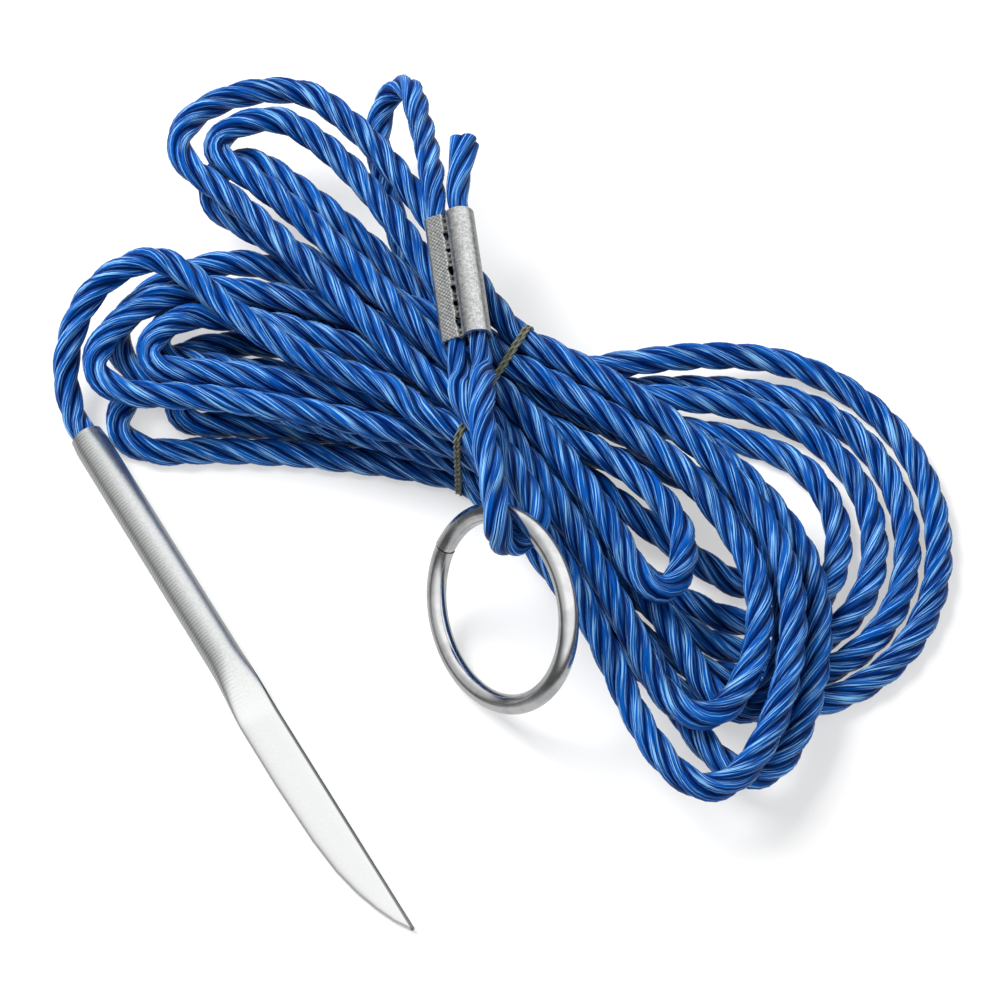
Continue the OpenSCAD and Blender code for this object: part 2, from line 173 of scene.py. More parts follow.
def loop_point(j, t):
    """A point of one loop, whose two legs run out from the waist to a round tip."""
    reach_share, half_share, curl_share, lift_share, turn, tip_layer = loops[j]
    reach, tip_r = reach_share * hank_reach, half_share * hank_reach
    turn = math.radians(turn)
    place_a, place_b = pass_places[j] * pass_step, pass_places[j + 1] * pass_step
    half_gap, half_tip = (place_a - place_b) / 2, math.copysign(tip_r, place_a - place_b)
    out = min(t / leg_share, (1 - t) / leg_share, 1)
    round_tip = min(max((t - leg_share) / (1 - 2 * leg_share), 0), 1) * math.pi
    along = (reach - tip_r) * out + tip_r * math.sin(round_tip)
    if leg_share <= t <= 1 - leg_share:
        across = half_tip * math.cos(round_tip)
    else:
        spread = math.sin(math.pi / 2 * out ** spread_power)
        across = math.copysign(1, 0.5 - t) * (half_gap + (half_tip - half_gap) * spread)
    across += (place_a + place_b) / 2
    u = along / reach
    bend = (1 + pinch_share) * u * u / (u + pinch_share)
    swing = turn * (u * u + 2 * pinch_share * u) / (u + pinch_share) ** 2
    x = along - reach * (1 - math.cos(turn)) * bend - math.sin(swing) * across
    y = reach * math.sin(turn) * bend + math.cos(swing) * across + curl_share * hank_reach * u ** 4
    waist_layer = mixed(
        pass_layers[j], pass_layers[j + 1], eased((t - leg_share) / (1 - 2 * leg_share))
    )
    layer = mixed(waist_layer, tip_layer, eased((x - fan_start) / (fan_end - fan_start)))
    layer += lift_share * eased((u - lift_from_share) / lift_over_share)
    way = 1 if j % 2 == 0 else -1
    return way * x * waist_axis + y * waist_side + np.array([0, 0, bottom_h + layer * layer_step])


def curve(points, steps):
    """A smooth curve through the points."""
    p = [2 * points[0] - points[1]] + list(points) + [2 * points[-1] - points[-2]]
    t = np.arange(steps)[:, None] / steps
    parts = [
        (2 * b + (c - a) * t + (2 * a - 5 * b + 4 * c - d) * t ** 2
         + (3 * b - a - 3 * c + d) * t ** 3) / 2
        for a, b, c, d in zip(p, p[1:], p[2:], p[3:])
    ]
    return np.vstack(parts + [points[-1][None]])


def barrel_point(side, s):
    return sleeve_low + side * barrel_step / 2 * sleeve_across - s * sleeve_dir


def lengths(points):
    return np.concatenate([[0], np.cumsum(np.linalg.norm(np.diff(points, axis=0), axis=1))])


def evenly(points, step):
    """The same line with its points one step apart, and the length up to each."""
    s = lengths(points)
    at = np.linspace(0, s[-1], int(round(s[-1] / step)) + 1)
    return np.column_stack([np.interp(at, s, column) for column in points.T]), at


def drawn_r(s):
    """Radius of the cord at a distance from a crimp."""
    return np.array([mixed(squeezed_d, cord_d, eased(x / squeezed_run)) / 2 for x in s])


hank_start = pass_point(0, -pass_run)
to_sleeve = curve(
    [hank_start - cord_d / 2 * waist_axis] + [np.array(p, float) for p in ring_route]
    + [barrel_point(-1, sleeve_l + cord_d), barrel_point(-1, sleeve_l)],
    steps=12,
)
loop_steps = 96
wound = np.array(
    [loop_point(j, k / loop_steps) for j in range(len(loops)) for k in range(loop_steps)]
    + [pass_point(len(loops), 0)]
)
hank_end = pass_point(len(loops), -pass_run)
to_needle = curve(
    [hank_end - cord_d / 2 * waist_axis] + [np.array(p, float) for p in needle_route]
    + [mouth - cord_d * needle_dir, mouth],
    steps=12,
)
sleeve_depth, grip_depth = 20, 15
main_line = np.vstack([
    barrel_point(-1, sleeve_l - sleeve_depth)[None], to_sleeve[::-1], hank_start[None],
    wound, hank_end[None], to_needle, (mouth + grip_depth * needle_dir)[None],
])


def laid_rope(name, line, radius, plies, ply_share, pitch, around=12, phase=0.0):
    """A closed mesh of twisted strands along a line, in metres. Its UV map runs across
    the strands in x and along them in y, and the attribute groove is 1 between them."""
    n = len(line)
    way = np.gradient(line, axis=0)
    way /= np.linalg.norm(way, axis=1)[:, None]
    # The cross-section is carried along the line without a twist of its own
    sides = [np.cross(way[0], [0.3, 0.2, 0.93])]
    for t in way:
        side = sides[-1] - (sides[-1] @ t) * t
        sides.append(side / np.linalg.norm(side))
    side = np.array(sides[1:])
    rise = np.cross(way, side)
    s = lengths(line)
    turn = phase + 2 * math.pi * s / pitch
    count = plies * around
    half = math.pi / plies
    within = (np.arange(count) % around) / around * 2 * half - half
    centre = 1 - ply_share
    wave = centre * np.cos(within) + np.sqrt(ply_share ** 2 - (centre * np.sin(within)) ** 2)
    angle = np.arange(count) / count * 2 * math.pi
    # Each strand swells and thins a little along its way, and the grooves stay
    swell_share = 0.02
    strand = np.repeat(np.arange(plies), around)
    swell = 1 + swell_share * np.sin(s[:, None] / pitch * (1.7 + 0.6 * strand) + 2.1 * strand)
    swell = np.where(wave > wave.min() * (1 + swell_share), swell, 1)
    r = radius[:, None] * wave[None] * swell
    a = turn[:, None] + angle[None]
    points = line[:, None] + r[..., None] * (
        np.cos(a)[..., None] * side[:, None] + np.sin(a)[..., None] * rise[:, None]
    )
    points[..., 2] = np.maximum(points[..., 2], 0)
    points = np.vstack([points.reshape(-1, 3), line[:1], line[-1:]]) * mm
    i, k = np.meshgrid(np.arange(n - 1), np.arange(count), indexing="ij")
    a, b = i * count + k, i * count + (k + 1) % count
    walls = np.stack([a, b, b + count, a + count], axis=-1).reshape(-1, 4)
    k = np.arange(count)
    near = np.stack([np.full(count, n * count), (k + 1) % count, k], axis=-1)
    last = (n - 1) * count
    far = np.stack([np.full(count, n * count + 1), last + k, last + (k + 1) % count], axis=-1)
    mesh = bpy.data.meshes.new(name)
    mesh.from_pydata(points.tolist(), [], walls.tolist() + near.tolist() + far.tolist())
    u = np.stack([k, k + 1, k + 1, k], axis=-1) / around
    uv = np.zeros((len(walls), 4, 2))
    uv[..., 0] = np.tile(u, (n - 1, 1))
    uv[..., 1] = np.stack([s[:-1], s[:-1], s[1:], s[1:]], axis=-1).repeat(count, axis=0) / pitch
    uv = np.vstack([uv.reshape(-1, 2), np.zeros((2 * count * 3, 2))])
    mesh.uv_layers.new(name="strands").data.foreach_set("uv", uv.ravel())
    groove = np.tile(1 - (wave - wave.min()) / (wave.max() - wave.min()), n)
    groove = np.append(groove, [0.5, 0.5])
    mesh.attributes.new("groove", "FLOAT", "POINT").data.foreach_set("value", groove)
    mesh.shade_smooth()
    rope = bpy.data.objects.new(name, mesh)
    bpy.context.scene.collection.objects.link(rope)
    return rope


rope_step = 1.25
lay_pitch = 24
plies, ply_share = 4, 0.5
gripped_share = 0.98
slack_growth, slack_from, slack_to, slack_run = 0.05, 60, 25, 10
line, at = evenly(main_line, rope_step)
radius = drawn_r(np.maximum(at - sleeve_depth, 0))
radius = np.where(at > at[-1] - grip_depth - 1, gripped_share * radius, radius)
# The slack cord of the hank is a little fuller than where it is drawn in
slack = np.clip(np.minimum(at - slack_from, at[-1] - at - slack_to) / slack_run, 0, 1)
radius *= 1 + slack_growth * slack
rope = laid_rope("cord", line, radius, plies, ply_share, lay_pitch, around=9)


class Value:
    """A shader number. Sums written with it add their Math nodes."""

    def __init__(self, nodes, link):
        self.nodes, self.link = nodes, link

    def math(self, operation, *others):
        return self.nodes.add("Math", {"operation": operation}, dict(enumerate((self, *others))))

    def __add__(self, other):
        return self.math("ADD", other)

    def __sub__(self, other):
        return self.math("SUBTRACT", other)

    def __rsub__(self, other):
        return self.nodes.add("Math", {"operation": "SUBTRACT"}, {0: other, 1: self})

    def __mul__(self, other):
        return self.math("MULTIPLY", other)

    __radd__ = __add__
    __rmul__ = __mul__

    def between(self, low, high):
        """0 below low, 1 above high, and a smooth step in between."""
        values = {"Value": self, "From Min": low, "From Max": high}
        return self.nodes.add("MapRange", {"interpolation_type": "SMOOTHSTEP"}, values)


class Nodes:
    """The nodes of a material or of the studio around it."""

    def __init__(self, tree):
        self.tree = tree

    def set(self, node, socket, value):
        if isinstance(value, Value):
            self.tree.links.new(value.link, node.inputs[socket])
        elif node.inputs[socket].type == "RGBA" and len(value) == 3:
            node.inputs[socket].default_value = (*value, 1)
        else:
            node.inputs[socket].default_value = value

    def add(self, kind, settings=None, values=None, out=0):
        """Any node: its settings are set first, then its sockets' values or links."""
        node = self.tree.nodes.new("ShaderNode" + kind)
        for setting, value in (settings or {}).items():
            setattr(node, setting, value)
        for socket, value in (values or {}).items():
            self.set(node, socket, value)
        return Value(self, node.outputs[out])

    def split(self, vector):
        """The three numbers of a vector."""
        parts = self.add("SeparateXYZ", {}, {0: vector})
        return [Value(self, socket) for socket in parts.link.node.outputs]

    def place(self):
        return self.add("TexCoord", out="Object")

    def noise(self, vector, scale, detail=2.0, roughness=0.5):
        return self.add("TexNoise", {}, {
            "Vector": vector, "Scale": scale, "Detail": detail, "Roughness": roughness,
        })

    def blend(self, weight, a, b):
        """Colour a where weight is 0 and b where it is 1."""
        return self.add("Mix", {"data_type": "RGBA"}, {"Factor": weight, "A": a, "B": b}, out=2)

    def shade(self, weight, a, b):
        """Shader a where weight is 0 and b where it is 1."""
        return self.add("MixShader", {}, {0: weight, 1: a, 2: b})


class Finish(Nodes):
    """A material with its one surface shader."""

    def __init__(self, name, **surface):
        self.material = bpy.data.materials.new(name)
        self.material.use_nodes = True
        super().__init__(self.material.node_tree)
        self.shader = self.tree.nodes["Principled BSDF"]
        for socket, value in surface.items():
            self.set(self.shader, socket.replace("_", " ").title().replace("Ior", "IOR"), value)

    def bump(self, height, distance, strength=1.0):
        values = {"Height": height, "Distance": distance, "Strength": strength}
        self.set(self.shader, "Normal", self.add("Bump", {}, values))


# Bright blue filaments with a silky gloss, which lie nearly along their strands
streak_slant = 0.8
cord_blue = (0.0006, 0.016, 0.125)
cord_light = (0.003, 0.074, 0.34)
cord_painted_glint = (0.23, 0.5, 0.82)
cord_painted_shade = (0.0002, 0.003, 0.045)
polypropylene = Finish(
    "blue laid cord", specular_tint=(0.03, 0.4, 1.0), specular_ior_level=0.3,
)
across, along, _ = polypropylene.split(polypropylene.add("UVMap", {"uv_map": "strands"}))
groove = polypropylene.add("Attribute", {"attribute_name": "groove"}, out="Fac")


def streaks(across_scale, along_scale, shift, **look):
    """Noise that is drawn out along the strands."""
    lean = across + along * streak_slant
    values = {0: lean * across_scale, 1: along * along_scale, 2: shift}
    return polypropylene.noise(polypropylene.add("CombineXYZ", {}, values), 1.0, **look)


filaments = streaks(9, 3.6, 0, detail=2.0, roughness=0.6)
yarns = streaks(4, 1.5, 7, detail=1.0)
glint_streaks = streaks(16, 3.2, 3, detail=1.0)
stains = polypropylene.noise(polypropylene.place(), 60, detail=1.0)
height = filaments * 0.6 + yarns * 0.4
# The filaments and stains vary the tone at random, and the crests are painted lighter and the
# grooves darker, as painted light and shade
tone_and_crest_light = height + (stains - 0.5) * 0.25 - (groove - 0.2) * 0.15
colour = polypropylene.blend(tone_and_crest_light.between(0.38, 0.6), cord_blue, cord_light)
# Painted glints: pale streaks on the strands' crests, fading towards the grooves
colour = polypropylene.blend(glint_streaks.between(0.5, 0.66) * (0.95 - groove), colour, cord_painted_glint)
# Painted shade darkens the low places between the filaments a little, and the grooves between the
# strands much more
colour = polypropylene.blend((0.5 - height).between(0.0, 0.12) * 0.25, colour, cord_painted_shade)
colour = polypropylene.blend(groove.between(0.45, 1.0) * 0.95, colour, cord_painted_shade)
polypropylene.set(polypropylene.shader, "Base Color", colour)
polypropylene.set(polypropylene.shader, "Roughness", 0.26 + yarns * 0.2)
polypropylene.bump(height, 0.5 * mm)
rope.data.materials.append(polypropylene.material)
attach(rope, "root")
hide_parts("hank", "needle_lead", "ring_lead")


# ---------------------------------------------------------------- the cord's tail
# The cut end of the cord stands out of the sleeve beside the lead. Its strands were
# melted together with a flame, which left a flared rim.
tail_l, tail_lean = 16, 0.24
flare_run, flare_share = 5, 1.22
tail_top = barrel_point(1, sleeve_l)
tail_bent = tail_top - cord_d * sleeve_dir
tail_way = -(sleeve_dir - tail_lean * sleeve_level)
tail_way /= np.linalg.norm(tail_way)
tail_end = tail_bent + (tail_l - cord_d) * tail_way
line, at = evenly(
    np.vstack([
        barrel_point(1, sleeve_l - sleeve_depth)[None],
        curve([tail_top, tail_bent, tail_end], steps=8),
    ]),
    step=0.6,
)
radius = drawn_r(np.maximum(at - sleeve_depth, 0))
flare = np.clip((at - at[-1] + flare_run) / flare_run, 0, 1) ** 2
radius = mixed(radius, flare_share * cord_d / 2, flare)
tail = laid_rope("cord_tail", line, radius, plies, ply_share, pitch=34, phase=0.6)
tail.data.materials.append(polypropylene.material)
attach(tail, "root")
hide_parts("cord_tail")


# ---------------------------------------------------------------- the eye
# The same cord leaves the sleeve's other mouth twice, and its bight holds the ring.
# It is soft, so it bends where it comes out of the sleeve.
eye_slack, eye_depth = 0.4, 4
hinge_h, bend_run = squeezed_d / 2 + 0.15, 4
eye_r = (ring_wire + cord_d) / 2 + eye_slack
bight = [
    eye_place + eye_r * (math.sin(a) * ring_axis - math.cos(a) * eye_out)
    for a in np.radians([92, 46, 0, -46, -92])
]
from_sleeve = [barrel_point(1, s) for s in (eye_depth, -hinge_h, -hinge_h - cord_d)]
into_sleeve = [barrel_point(-1, s) for s in (-hinge_h - cord_d, -hinge_h, eye_depth)]
eye_line = curve(
    from_sleeve + [np.array(p, float) for p in upper_leg] + bight
    + [np.array(p, float) for p in lower_leg] + into_sleeve,
    steps=16,
)
line, at = evenly(eye_line, step=0.7)
from_crimp = np.minimum(at, at[-1] - at) - eye_depth
radius = drawn_r(np.maximum(from_crimp, 0))
eye = laid_rope("cord_eye", line, radius, plies, ply_share, pitch=27, phase=1.2)
eye.data.materials.append(polypropylene.material)
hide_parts("ring_eye")
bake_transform(eye)


# ---------------------------------------------------------------- the sleeve
# A double sleeve of soft aluminium that a crimping tool squeezed shut. Its left
# barrel was pressed flat, took the tool's diamond pattern and tore along the seam.
sleeve_outline = [
    (-4.5, 0), (-4.35, 1.2), (-3.8, 1.95), (-2.2, 2.1), (-0.95, 2.1), (-0.5, 1.5), (0, 2.05),
    (0.8, 2.6), (1.95, 2.8), (3.15, 2.45), (4.15, 1.45), (4.5, 0.1), (4.2, -1.2), (3.3, -2.15),
    (2.1, -2.45), (0.9, -2.2), (0, -1.6), (-0.9, -2.1), (-2.1, -2.4), (-3.3, -2.1), (-4.2, -1.2),
]
outline_steps, side_w = 12, 0.17
outline = [np.array(p, float) for p in sleeve_outline]
outline = curve(outline[-2:] + outline + outline[:3], outline_steps)
outline, _ = evenly(outline[2 * outline_steps:-2 * outline_steps], side_w)
sides = len(outline) - 1


def edit(piece):
    """Opens the piece in edit mode with all of it selected."""
    bpy.ops.object.select_all(action="DESELECT")
    bpy.context.view_layer.objects.active = piece
    piece.select_set(True)
    bpy.ops.object.mode_set(mode="EDIT")
    bpy.ops.mesh.select_all(action="SELECT")


def done():
    bpy.ops.object.mode_set(mode="OBJECT")


def points_of(piece):
    flat = np.zeros(len(piece.data.vertices) * 3)
    piece.data.vertices.foreach_get("co", flat)
    return flat.reshape(-1, 3)


def put(piece, points):
    piece.data.vertices.foreach_set("co", np.asarray(points).ravel())
    piece.data.update()


def select(piece, kind, chosen):
    """Selects the vertices, edges or faces that are chosen, in edit mode."""
    done()
    mesh = piece.data
    kinds = {"vertices": mesh.vertices, "edges": mesh.edges, "faces": mesh.polygons}
    bpy.context.tool_settings.mesh_select_mode = [k == kind for k in kinds]
    for parts in kinds.values():
        parts.foreach_set("select", np.zeros(len(parts), bool))
    for part, on in zip(kinds[kind], chosen):
        part.select = bool(on)
    bpy.ops.object.mode_set(mode="EDIT")


def select_rim(piece, chosen):
    """Selects the edges between the chosen vertices, in edit mode."""
    select(piece, "vertices", chosen)
    bpy.ops.mesh.select_mode(type="EDGE")


def cut_lengthwise(piece, rows=100):
    """Cuts the long edges of an upright tube, and then each new face in four."""
    done()
    corners = piece.data.vertices
    select(piece, "edges", [
        abs(corners[e.vertices[0]].co.z - corners[e.vertices[1]].co.z) > 1
        for e in piece.data.edges
    ])
    bpy.ops.mesh.subdivide(number_cuts=rows - 1)
    bpy.ops.mesh.subdivide(number_cuts=1)
    done()


def close_up(piece, smooth_below):
    """Turns the faces outward, and shades the bends below an angle in degrees smooth."""
    edit(piece)
    bpy.ops.mesh.normals_make_consistent(inside=False)
    done()
    bpy.ops.object.shade_smooth_by_angle(angle=math.radians(smooth_below))


bpy.ops.object.select_all(action="DESELECT")
bpy.ops.mesh.primitive_circle_add(vertices=sides, radius=1)
sleeve = bpy.context.object
sleeve.name = "crimped_sleeve"
put(sleeve, np.column_stack([outline[:-1], np.zeros(sides)]))
edit(sleeve)
bpy.ops.mesh.extrude_region_move(TRANSFORM_OT_translate={"value": (0, 0, sleeve_l)})
cut_lengthwise(sleeve)
x, y, z = points_of(sleeve).T


def ragged(z, seed):
    """An uneven line between -1 and 1 along the tear."""
    waves = ((0.5, 5.1), (0.3, 11.7), (0.2, 23.3))
    return sum(w * np.sin(turns * z + i * seed) for i, (w, turns) in enumerate(waves, 1))


def step_up(value, low, high):
    t = np.clip((value - low) / (high - low), 0, 1)
    return t * t * (3 - 2 * t)


def ridge(offset, half_w, power=2):
    """1 in the middle of a ridge or a groove, and 0 beside it."""
    return np.exp(-(offset / half_w) ** power)


# The tool's diamonds stand up between sunk lines
knurl_pitch, knurl_depth, knurl_sharpness = 0.8, 0.12, 2.6
knurl_left, knurl_right = (-3.9, -3.4), (-1.2, -0.75)
on_top = y > 1
knurled = on_top * step_up(x, *knurl_left) * (1 - step_up(x, *knurl_right))
diamond = np.abs(
    np.sin(math.pi * (x + z) / knurl_pitch) * np.sin(math.pi * (x - z) / knurl_pitch)
)
knurled *= 1 - np.clip(knurl_sharpness * diamond, 0, 1)
drop = knurled * knurl_depth

# Beside them run a lip and the uneven seam
seam_place, seam_sway, seam_half_w, seam_depth = -0.5, 0.14, 0.3, 0.25
lip_place, lip_half_w, lip_h = -0.95, 0.25, 0.12
seam_x = seam_place + seam_sway * ragged(z, 1)
in_seam = on_top * ridge(x - seam_x, seam_half_w)
drop += seam_depth * in_seam * (1 + ragged(z, 2))
drop -= lip_h * on_top * ridge(x - lip_place, lip_half_w) * (0.4 + ragged(z, 3))

# Each tear's place up the sleeve and its half length
tears = [(21.6, 0.4), (18.3, 0.25), (14.2, 0.7), (10.4, 0.3), (7.2, 0.5), (3.5, 0.8)]
tear_half_w, tear_depth, tear_shift = 0.33, 0.9, 0.1
tears_and_shade = np.max([ridge(z - tear_z, half_l, 4) for tear_z, half_l in tears], axis=0)
tears_and_shade *= on_top * ridge(x - seam_x + tear_shift, tear_half_w, 4)
drop += tear_depth * tears_and_shade

# Between the tears the seam is painted dark with shade here and there, and it wavers
seam_shade, seam_waver = 0.55, 0.1
tears_and_shade += seam_shade * in_seam * (ragged(z, 2) > -0.25)
put(sleeve, np.column_stack([x + seam_waver * in_seam * ragged(z, 4), y - drop, z]))
for label, values in [("knurled", knurled), ("tears_and_shade", np.clip(tears_and_shade, 0, 1))]:
    sleeve.data.attributes.new(label, "FLOAT", "POINT").data.foreach_set("value", values)

# Each mouth has a rounded rim, and its bore goes in behind the cord
rim_size, rim_proud = (0.975, 0.95, 1), 0.06
bore_size, bore_depth = (0.9, 0.82, 1), 1.5
for end, inward in ((0, 1), (sleeve_l, -1)):
    select_rim(sleeve, [abs(v.co.z - end) < 0.01 for v in sleeve.data.vertices])
    bpy.ops.mesh.extrude_edges_move(TRANSFORM_OT_translate={"value": (0, 0, 0)})
    bpy.ops.transform.resize(value=rim_size, center_override=(0, 0, end))
    bpy.ops.transform.translate(value=(0, 0, -rim_proud * inward))
    bpy.ops.mesh.extrude_edges_move(TRANSFORM_OT_translate={"value": (0, 0, 0)})
    bpy.ops.transform.resize(value=bore_size, center_override=(0, 0, end))
    bpy.ops.mesh.extrude_edges_move(
        TRANSFORM_OT_translate={"value": (0, 0, bore_depth * inward)}
    )
    bpy.ops.mesh.edge_face_add()
    done()
sleeve_top = np.cross(sleeve_across, -sleeve_dir)
x, y, z = points_of(sleeve).T[:, :, None]
put(sleeve, (sleeve_low + x * sleeve_across + y * sleeve_top - z * sleeve_dir) * mm)
close_up(sleeve, 50)

bright_metal, dull_metal = (0.78, 0.79, 0.78), (0.4, 0.41, 0.41)
pit_shade, tear_shade = (0.09, 0.1, 0.1), (0.01, 0.01, 0.01)
aluminium = Finish("crimped aluminium", metallic=1.0)
grain = aluminium.noise(aluminium.place(), 3200, detail=3.0, roughness=0.65)
pebble = aluminium.noise(aluminium.place(), 1500)
tear_and_seam_shade_mask = aluminium.add("Attribute", {"attribute_name": "tears_and_shade"}, out="Fac")
pits = aluminium.add("Attribute", {"attribute_name": "knurled"}, out="Fac")
texture = pebble * 0.4 + grain * 0.6
metal = aluminium.blend(texture.between(0.35, 0.65), dull_metal, bright_metal)
# Painted shade darkens the knurl's sunk lines, and black painted shade fills the tears and parts of
# the seam
metal = aluminium.blend(pits * 0.8, metal, pit_shade)
metal = aluminium.blend(tear_and_seam_shade_mask.between(0.3, 0.6), metal, tear_shade)
aluminium.set(aluminium.shader, "Base Color", metal)
aluminium.set(aluminium.shader, "Roughness", 0.26 + pebble * 0.22)
aluminium.bump(texture, 0.04 * mm, 0.7)
sleeve.data.materials.append(aluminium.material)
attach(sleeve, "root")
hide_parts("sleeve")


# ---------------------------------------------------------------- the ring
# A ring of polished steel wire, bent round until its two square ends butt together.
# One end stands a little proud of the other at the joint.
ring_around, wire_around = 288, 48
ring_step = 2 * math.pi / ring_around
joint_gap, joint_proud, proud_run = 0.12, 0.16, 3 * ring_step
bpy.ops.object.select_all(action="DESELECT")
bpy.ops.mesh.primitive_torus_add(
    major_radius=ring_r, minor_radius=ring_wire / 2,
    major_segments=ring_around, minor_segments=wire_around,
)
ring = bpy.context.object
ring.name = "steel_ring"


def spun(points, angle):
    """The points turned about the upright axis."""
    c, s = math.cos(angle), math.sin(angle)
    return points @ np.array([[c, s, 0], [-s, c, 0], [0, 0, 1]])


def angles_of(points):
    return np.arctan2(points[:, 1], points[:, 0])


# One row of faces goes out for the joint, and its two sides move together
select(ring, "faces", [
    abs(math.atan2(f.center.y, f.center.x) - ring_step / 2) < ring_step / 3
    for f in ring.data.polygons
])
bpy.ops.mesh.delete(type="FACE")
done()
for way, proud in ((0, joint_proud), (1, 0)):
    points = points_of(ring)
    beside = np.abs(angles_of(points) - way * ring_step) < ring_step / 3
    turn = (0.5 - way) * ring_step * (1 - joint_gap / (ring_step * ring_r))
    points[beside] = spun(points[beside], turn)
    put(ring, points)
    past_joint = (angles_of(points) - ring_step / 2) * (1 if way else -1)
    offset = proud * np.exp(-np.clip(past_joint, 0, 9) / proud_run) * (past_joint > 0)
    points[:, :2] *= 1 + (offset / ring_r)[:, None]
    put(ring, points)
    select_rim(ring, (past_joint > 0) & (past_joint < 0.6 * ring_step))
    bpy.ops.mesh.edge_face_add()
    done()
close_up(ring, 45)
points = ring_place + spun(points_of(ring), seam_angle) @ np.stack([ring_u, ring_v, ring_axis])
put(ring, points * mm)

steel_grey, steel_light = (0.62, 0.63, 0.64), (0.76, 0.76, 0.77)
steel = Finish("polished steel", metallic=1.0)
smear = steel.noise(steel.place(), 260)
scratch = steel.noise(steel.place(), 2600, detail=3.0, roughness=0.7)
colour = steel.blend(smear.between(0.4, 0.6), steel_grey, steel_light)
steel.set(steel.shader, "Base Color", colour)
steel.set(steel.shader, "Roughness", 0.1 + smear * 0.1 + scratch.between(0.55, 0.7) * 0.1)
steel.bump(scratch, 0.01 * mm, 0.5)
ring.data.materials.append(steel.material)
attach(ring, "ring")
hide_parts("ring")


# ---------------------------------------------------------------- the needle
# An aluminium tube that grips the cord's end in its mouth. Beyond its round part it
# was pressed flat and cut to a long blade with a straight spine and a curved edge.
needle_l, tube_l, press_l, point_l = 110, 51, 13.2, 34
blade_w, blade_t, tip_thinning = 7.2, 1.6, 0.25
point_shares = [(0, 0), (0.35, 0.06), (0.55, 0.16), (0.7, 0.32), (0.82, 0.52), (0.92, 0.74), (1, 1)]
spine_edge = 0.5
needle_sides, flat_power = 64, 0.45
mouth_taper, taper_run = 0.93, 2.5
bpy.ops.object.select_all(action="DESELECT")
bpy.ops.mesh.primitive_cylinder_add(
    vertices=needle_sides, radius=1, depth=needle_l, end_fill_type="NOTHING",
    location=(0, 0, needle_l / 2),
)
needle = bpy.context.object
needle.name = "needle_metal"
bpy.ops.object.transform_apply(location=True, rotation=True, scale=True)
cut_lengthwise(needle)
x, y, z = points_of(needle).T
tube_r = needle_tube_d / 2
pressed = step_up(z, tube_l, tube_l + press_l)
mouth_r = tube_r * mixed(mouth_taper, 1, step_up(z, 0, taper_run))
half_w = mixed(mouth_r, blade_w / 2, pressed)
half_t = mixed(mouth_r, blade_t / 2, pressed)
along_point = np.clip((z - (needle_l - point_l)) / point_l, 0, 1)
cut = np.interp(along_point, *zip(*point_shares))
edge_w = mixed(half_w, spine_edge - half_w, cut)
thin = 1 - tip_thinning * step_up(along_point, 0.7, 1)
power = mixed(1, flat_power, pressed)
flat_x, flat_y = np.sign(x) * np.abs(x) ** power, np.sign(y) * np.abs(y) ** power
across = (half_w - edge_w) / 2 + flat_x * (half_w + edge_w) / 2
height = mixed(tube_r, half_t, pressed) + flat_y * half_t * thin
spine_side = np.array([-math.sin(needle_turn), math.cos(needle_turn), 0])
mouth_low = mouth - np.array([0, 0, tube_r])
points = mouth_low + np.outer(z, needle_dir) + np.outer(across, spine_side)
points[:, 2] += height
put(needle, points)
select_rim(needle, z > needle_l - 0.01)
bpy.ops.mesh.edge_face_add()

# The mouth's rim rolls over, and the bore goes in behind the cord
select_rim(needle, z < 0.01)
for size, shift in ((0.96, -0.08), (0.88, 0), (1, 6)):
    bpy.ops.mesh.extrude_edges_move(TRANSFORM_OT_translate={"value": tuple(shift * needle_dir)})
    bpy.ops.transform.resize(value=(size, size, size), center_override=tuple(mouth))
bpy.ops.mesh.edge_face_add()
done()
put(needle, points_of(needle) * mm)
close_up(needle, 40)

tube_grey, tube_light = (0.62, 0.64, 0.64), (0.84, 0.85, 0.84)
blade_painted_light, spine_shade = (0.9, 0.91, 0.9), (0.1, 0.1, 0.11)
tick_pitch = 0.6
brushed = Finish("brushed aluminium", metallic=1.0)
lined_up = brushed.add("Mapping", {}, {
    "Vector": brushed.place(), "Rotation": (0, 0, -needle_turn), "Scale": (1000, 1000, 1000),
})
along, across, _ = brushed.split(lined_up)
beside = across - mouth @ spine_side
bright = (along - (mouth @ needle_dir + tube_l)).between(0, press_l)
speckle = brushed.noise(brushed.place(), 2400, detail=3.0, roughness=0.6)
# Fine rings that the drawing die left on the tube's left side, broken into ticks
sway = brushed.noise(lined_up, 1.2)
ticks = (along * (2 * math.pi / tick_pitch) + sway * 3).math("SINE") * sway
ticks = ticks * (0.0 - beside).between(0.2, 1.8) * (1.0 - bright)
metal = brushed.blend((ticks + speckle - 0.5).between(-0.3, 0.3), tube_grey, tube_light)
# The flat blade is painted lighter, as painted light where its face catches the light
metal = brushed.blend(bright * 0.7, metal, blade_painted_light)
# A painted dark reflection runs along the spine's edge
metal = brushed.blend(beside.between(2.85, 3.15) * 0.85, metal, spine_shade)
brushed.set(brushed.shader, "Base Color", metal)
brushed.set(brushed.shader, "Roughness", 0.3 + speckle * 0.2)
brushed.bump(ticks * 0.3 + speckle * 0.5, 0.03 * mm, 0.8)
needle.data.materials.append(brushed.material)
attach(needle, "root")
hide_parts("needle")


# ---------------------------------------------------------------- the tie
# Thin grey-olive twine of two plies, wound twice round the hank's waist and pulled
# tight, so that it sinks into the cord.
twine_d, tie_depth, tie_spread = 0.75, 0.25, 1.8
tie_stops = [
    (0, 0, -90), (1, 0, -90), (2, 0, -90), (2, 0, -60), (2, 0, -30), (2, 0, 0), (2, 1, 0),
    (2, 2, 0), (2, 3, 0), (2, 3, 30), (2, 3, 60), (2, 3, 90), (1, 3, 90),
]
reach = (cord_d + twine_d) / 2 - tie_depth


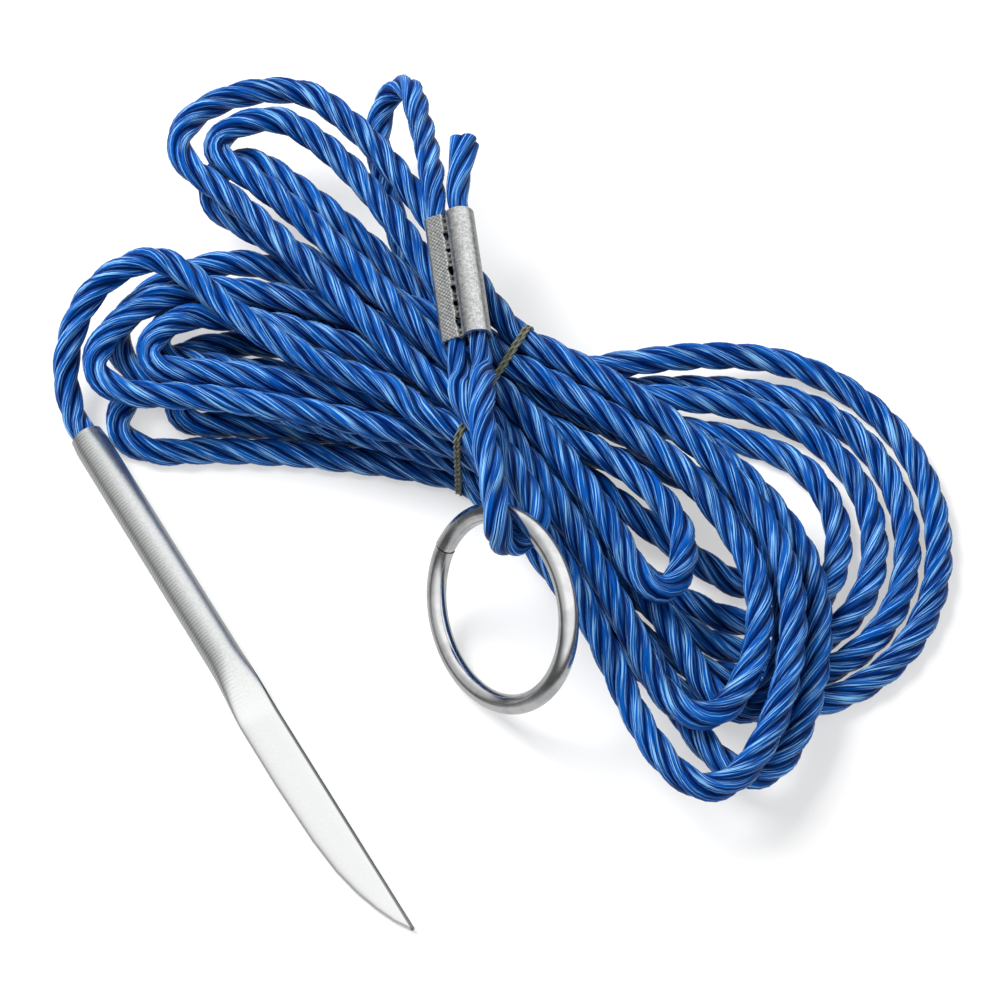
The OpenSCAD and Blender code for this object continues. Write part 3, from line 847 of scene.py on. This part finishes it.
def stop_point(stop, way):
    place, layer, angle = stop
    across = place * pass_step + reach * math.cos(math.radians(angle))
    height = bottom_h + layer * layer_step + reach * math.sin(math.radians(angle))
    return way * across * waist_side + np.array([0, 0, max(height, twine_d / 2)])


band = [stop_point(s, 1) for s in tie_stops] + [stop_point(s, -1) for s in tie_stops[:0:-1]]
line, at = evenly(curve(band + band + band[:1], steps=8), step=0.3)
line += np.outer((at / at[-1] - 0.5) * tie_spread * twine_d, waist_axis)
tie = laid_rope(
    "tie_twine", line, np.full(len(at), twine_d / 2),
    plies=2, ply_share=0.58, pitch=3.2, around=8,
)
twine_dark, twine_light, twine_groove_shade = (0.08, 0.085, 0.055), (0.26, 0.27, 0.2), (0.012, 0.014, 0.01)
twine = Finish("grey-olive twine", roughness=0.75)
uv = twine.add("UVMap", {"uv_map": "strands"})
fibre = twine.add("Mapping", {}, {"Vector": uv, "Scale": (7, 1.5, 1)})
fibre = twine.noise(fibre, 1.0, detail=3.0)
groove = twine.add("Attribute", {"attribute_name": "groove"}, out="Fac")
colour = twine.blend(fibre.between(0.35, 0.65), twine_dark, twine_light)
# Painted shade darkens the grooves between the plies
twine.set(twine.shader, "Base Color", twine.blend(groove * 0.7, colour, twine_groove_shade))
twine.bump(fibre, 0.08 * mm, 0.8)
tie.data.materials.append(twine.material)
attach(tie, "root")
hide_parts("tie")


# ---------------------------------------------------------------- the stage
# A plain white table and soft light from all round, with a large lamp from the left
# and a weak one from the right.
bpy.ops.object.select_all(action="DESELECT")
bpy.ops.mesh.primitive_plane_add(size=6, location=(0, 0, -0.05 * mm))
table = bpy.context.object
table.name = "table"
table.visible_glossy = False
paper = Finish("white table", base_color=(0.9, 0.9, 0.9), roughness=1.0, specular_ior_level=0.0)
# To the camera the table glows by half, so that it looks white and keeps its shadows
glow = paper.add("Emission")
seen = paper.add("LightPath", out="Is Camera Ray")
shown = paper.shade(seen * 0.5, Value(paper, paper.shader.outputs[0]), glow)
paper.set(paper.tree.nodes["Material Output"], "Surface", shown)
table.data.materials.append(paper.material)

# The camera sees white walls, and the light from them is even. Gloss alone sees them
# dark at the horizon, bright at the upper right, and grey at the left and below.
world = bpy.data.worlds.new("studio")
bpy.context.scene.world = world
world.use_nodes = True
studio = Nodes(world.node_tree)
side, _, rise = studio.split(studio.add("TexCoord", out="Generated"))
above = rise.between(0.0, 0.35) * (side.between(-0.9, 0.1) * 0.7 + 0.42)
below = (0.0 - rise).between(0.15, 0.4) * 0.5
even = studio.add("Background", {}, {"Color": (1, 1, 1), "Strength": 0.34})
mirrored = studio.add("Background", {}, {"Color": (1, 1, 1), "Strength": above + below + 0.1})
white = studio.add("Background", {}, {"Color": (1, 1, 1), "Strength": 1})
shown = studio.shade(studio.add("LightPath", out="Is Glossy Ray"), even, mirrored)
shown = studio.shade(studio.add("LightPath", out="Is Camera Ray"), shown, white)
studio.set(world.node_tree.nodes["World Output"], "Surface", shown)
for name, place, size, watts in [
    ("key lamp", (-0.75, 0.5, 1.0), 0.8, 31),
    ("fill lamp", (0.9, -0.6, 0.9), 0.9, 8),
]:
    bpy.ops.object.light_add(type="AREA", location=place)
    lamp = bpy.context.object
    lamp.name = name
    lamp.visible_glossy = False
    lamp.data.size, lamp.data.energy = size, watts
    lamp.rotation_euler = (-Vector(place)).to_track_quat("-Z", "Y").to_euler()

bpy.context.scene.view_settings.view_transform = "Standard"
